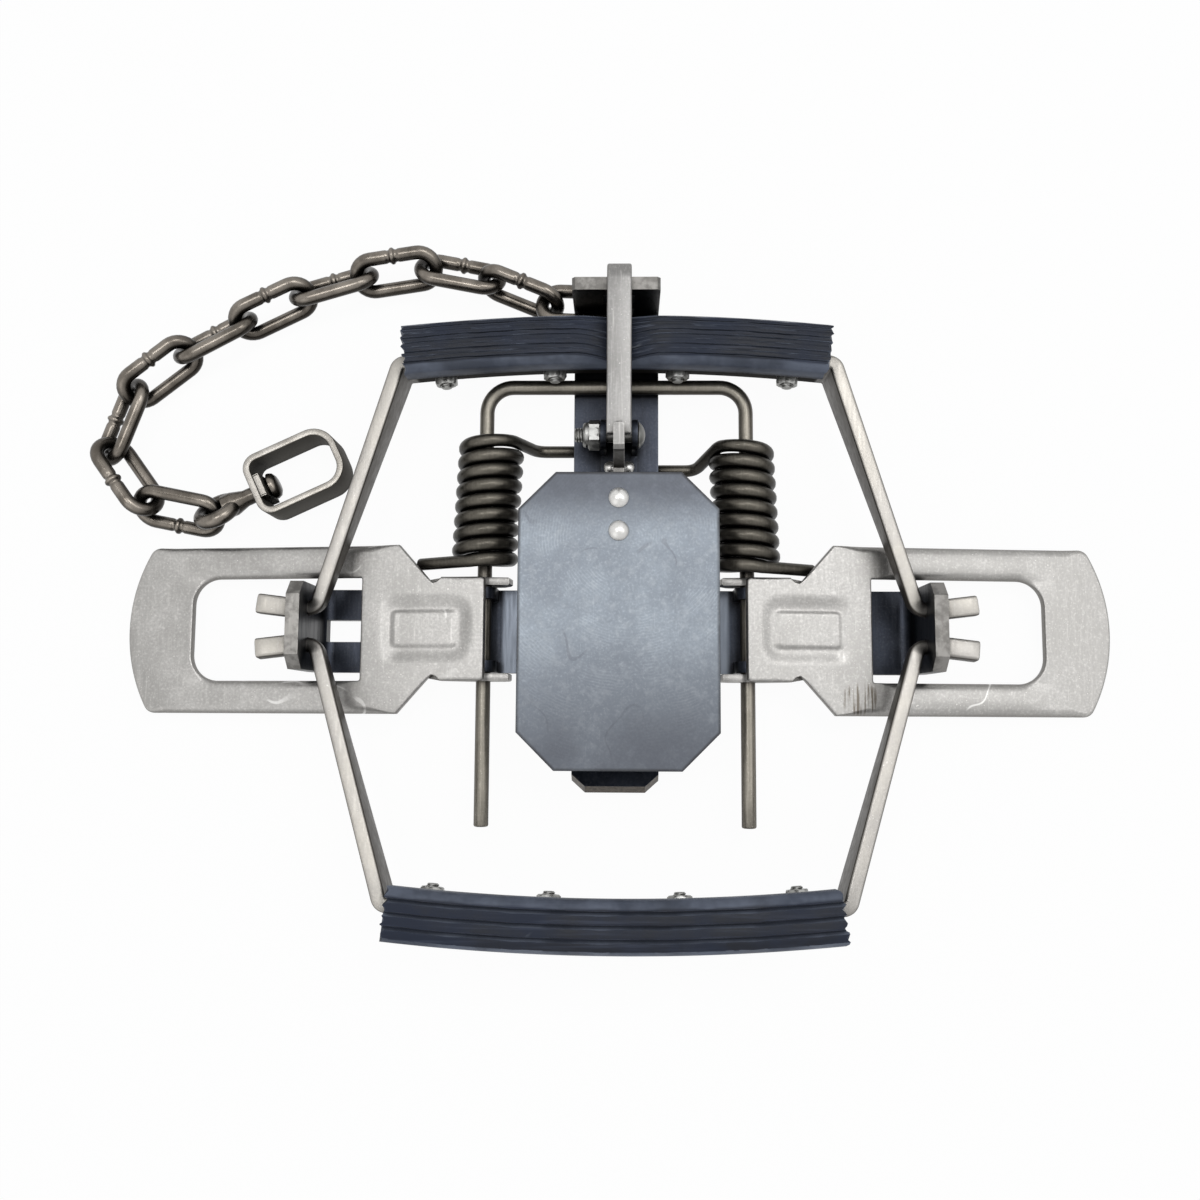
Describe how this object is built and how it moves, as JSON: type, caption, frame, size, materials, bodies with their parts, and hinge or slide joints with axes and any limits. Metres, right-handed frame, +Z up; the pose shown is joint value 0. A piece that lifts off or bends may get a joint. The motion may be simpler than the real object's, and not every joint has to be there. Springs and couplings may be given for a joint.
{
  "type": "leghold trap",
  "caption": "Coil spring leghold trap in the set position, with rubber padded jaws, spring levers, a trigger pan latched by a dog, and an anchor chain ending in a swivel.",
  "frame": {"origin": "on the underside of the base bar, below the point where the base bar and the cross bar cross", "axes": "+X along the base bar toward the right lever, +Y along the cross bar toward the dog post, +Z up"},
  "size_m": [0.2701, 0.1822, 0.035],
  "materials": {
    "dark_steel": "blued sheet steel with rubbed edges",
    "bare_steel": "bare tumbled steel with fine scratches",
    "oiled_steel": "oiled spring and chain wire",
    "zinc_plate": "bright zinc plate",
    "pad_rubber": "worn ribbed rubber"
  },
  "bodies": {
    "frame_body": {"base_bar": "dark_steel", "cross_bar": "dark_steel", "frame_rivets": "dark_steel", "pan_bracket": "dark_steel", "bracket_rivets": "zinc_plate", "pan_bolt": "zinc_plate", "pan_nut": "zinc_plate", "pivot_rod": "oiled_steel", "spring_left": "oiled_steel", "spring_right": "oiled_steel"},
    "far_jaw_body": {"far_jaw": "bare_steel", "far_pad": "pad_rubber", "far_pad_bolts": "zinc_plate", "far_pad_nuts": "zinc_plate"},
    "near_jaw_body": {"near_jaw": "bare_steel", "near_pad": "pad_rubber", "near_pad_bolts": "zinc_plate", "near_pad_nuts": "zinc_plate"},
    "lever_left_body": {"lever_left": "bare_steel"},
    "lever_right_body": {"lever_right": "bare_steel"},
    "dog_body": {"dog": "bare_steel"},
    "pan_body": {"pan": "dark_steel", "pan_shank": "dark_steel", "pan_rivets": "zinc_plate"},
    "chain_link_01_body": {"chain_link_01": "oiled_steel"},
    "chain_link_02_body": {"chain_link_02": "oiled_steel"},
    "chain_link_03_body": {"chain_link_03": "oiled_steel"},
    "chain_link_04_body": {"chain_link_04": "oiled_steel"},
    "chain_link_05_body": {"chain_link_05": "oiled_steel"},
    "chain_link_06_body": {"chain_link_06": "oiled_steel"},
    "chain_link_07_body": {"chain_link_07": "oiled_steel"},
    "chain_link_08_body": {"chain_link_08": "oiled_steel"},
    "chain_link_09_body": {"chain_link_09": "oiled_steel"},
    "chain_link_10_body": {"chain_link_10": "oiled_steel"},
    "chain_link_11_body": {"chain_link_11": "oiled_steel"},
    "swivel_eye_body": {"swivel_eye": "oiled_steel"},
    "swivel_box_body": {"swivel_box": "oiled_steel"}
  },
  "joints": [
    {"name": "far_jaw_hinge", "type": "hinge", "parent": "frame_body", "child": "far_jaw_body", "pos_m": [0, 0.00463, 0.018], "axis": [1, 0, 0], "range_deg": [0, 85], "deforming": ["far_pad"]},
    {"name": "near_jaw_hinge", "type": "hinge", "parent": "frame_body", "child": "near_jaw_body", "pos_m": [0, -0.00463, 0.018], "axis": [-1, 0, 0], "range_deg": [0, 79]},
    {"name": "lever_left_hinge", "type": "hinge", "parent": "frame_body", "child": "lever_left_body", "pos_m": [-0.0342, 0, 0.009], "axis": [0, 1, 0], "range_deg": [0, 28.1], "deforming": ["spring_left"]},
    {"name": "lever_right_hinge", "type": "hinge", "parent": "frame_body", "child": "lever_right_body", "pos_m": [0.0342, 0, 0.009], "axis": [0, -1, 0], "range_deg": [0, 28.1], "deforming": ["spring_right"]},
    {"name": "dog_hinge", "type": "hinge", "parent": "frame_body", "child": "dog_body", "pos_m": [0.0008, 0.08628, 0.025], "axis": [-1, 0, 0], "range_deg": [0, 199.8]},
    {"name": "pan_hinge", "type": "hinge", "parent": "frame_body", "child": "pan_body", "pos_m": [0.0008, 0.0503, 0.0146], "axis": [1, 0, 0], "range_deg": [0, 10]},
    {"name": "chain_link_01_hinge", "type": "hinge", "parent": "frame_body", "child": "chain_link_01_body", "pos_m": [0.0015, 0.08568, 0.0115], "axis": [-1, 0, 0], "range_deg": [0, 6]},
    {"name": "chain_link_02_hinge", "type": "hinge", "parent": "chain_link_01_body", "child": "chain_link_02_body", "pos_m": [-0.01786, 0.08726, 0.0085], "axis": [0, 0, -1], "range_deg": [0, 10]},
    {"name": "chain_link_03_hinge", "type": "hinge", "parent": "chain_link_02_body", "child": "chain_link_03_body", "pos_m": [-0.03371, 0.09498, 0.00767], "axis": [0, 0, -1], "range_deg": [0, 10]},
    {"name": "chain_link_04_hinge", "type": "hinge", "parent": "chain_link_03_body", "child": "chain_link_04_body", "pos_m": [-0.05091, 0.09859, 0.00802], "axis": [0, 0, -1], "range_deg": [0, 10]},
    {"name": "chain_link_05_hinge", "type": "hinge", "parent": "chain_link_04_body", "child": "chain_link_05_body", "pos_m": [-0.06828, 0.09595, 0.00762], "axis": [0, 0, -1], "range_deg": [0, 10]},
    {"name": "chain_link_06_hinge", "type": "hinge", "parent": "chain_link_05_body", "child": "chain_link_06_body", "pos_m": [-0.08513, 0.09114, 0.00733], "axis": [0, 0, -1], "range_deg": [0, 10]},
    {"name": "chain_link_07_hinge", "type": "hinge", "parent": "chain_link_06_body", "child": "chain_link_07_body", "pos_m": [-0.10079, 0.0833, 0.00731], "axis": [0, 0, -1], "range_deg": [0, 10]},
    {"name": "chain_link_08_hinge", "type": "hinge", "parent": "chain_link_07_body", "child": "chain_link_08_body", "pos_m": [-0.11633, 0.0752, 0.00712], "axis": [0, 0, -1], "range_deg": [0, 10]},
    {"name": "chain_link_09_hinge", "type": "hinge", "parent": "chain_link_08_body", "child": "chain_link_09_body", "pos_m": [-0.13057, 0.06469, 0.00637], "axis": [0, 0, 1], "range_deg": [0, 6]},
    {"name": "chain_link_10_hinge", "type": "hinge", "parent": "chain_link_09_body", "child": "chain_link_10_body", "pos_m": [-0.13694, 0.04788, 0.00637], "axis": [0, 0, 1], "range_deg": [0, 10]},
    {"name": "chain_link_11_hinge", "type": "hinge", "parent": "chain_link_10_body", "child": "chain_link_11_body", "pos_m": [-0.12602, 0.03312, 0.00602], "axis": [0, 0, 1], "range_deg": [0, 10]},
    {"name": "swivel_eye_hinge", "type": "hinge", "parent": "chain_link_11_body", "child": "swivel_eye_body", "pos_m": [-0.10857, 0.02981, 0.00544], "axis": [0, 0, 1], "range_deg": [0, 10]},
    {"name": "swivel_turn", "type": "hinge", "parent": "swivel_eye_body", "child": "swivel_box_body", "pos_m": [-0.09598, 0.03659, 0.00613], "axis": [0.9063, 0.4226, 0], "continuous": true}
  ],
  "couplings": [
    {"joint": "near_jaw_hinge", "follows": "far_jaw_hinge", "ratio": 0.9294},
    {"joint": "lever_left_hinge", "follows": "far_jaw_hinge", "ratio": 0.33},
    {"joint": "lever_right_hinge", "follows": "far_jaw_hinge", "ratio": 0.33},
    {"joint": "dog_hinge", "follows": "far_jaw_hinge", "ratio": 2.35}
  ]
}
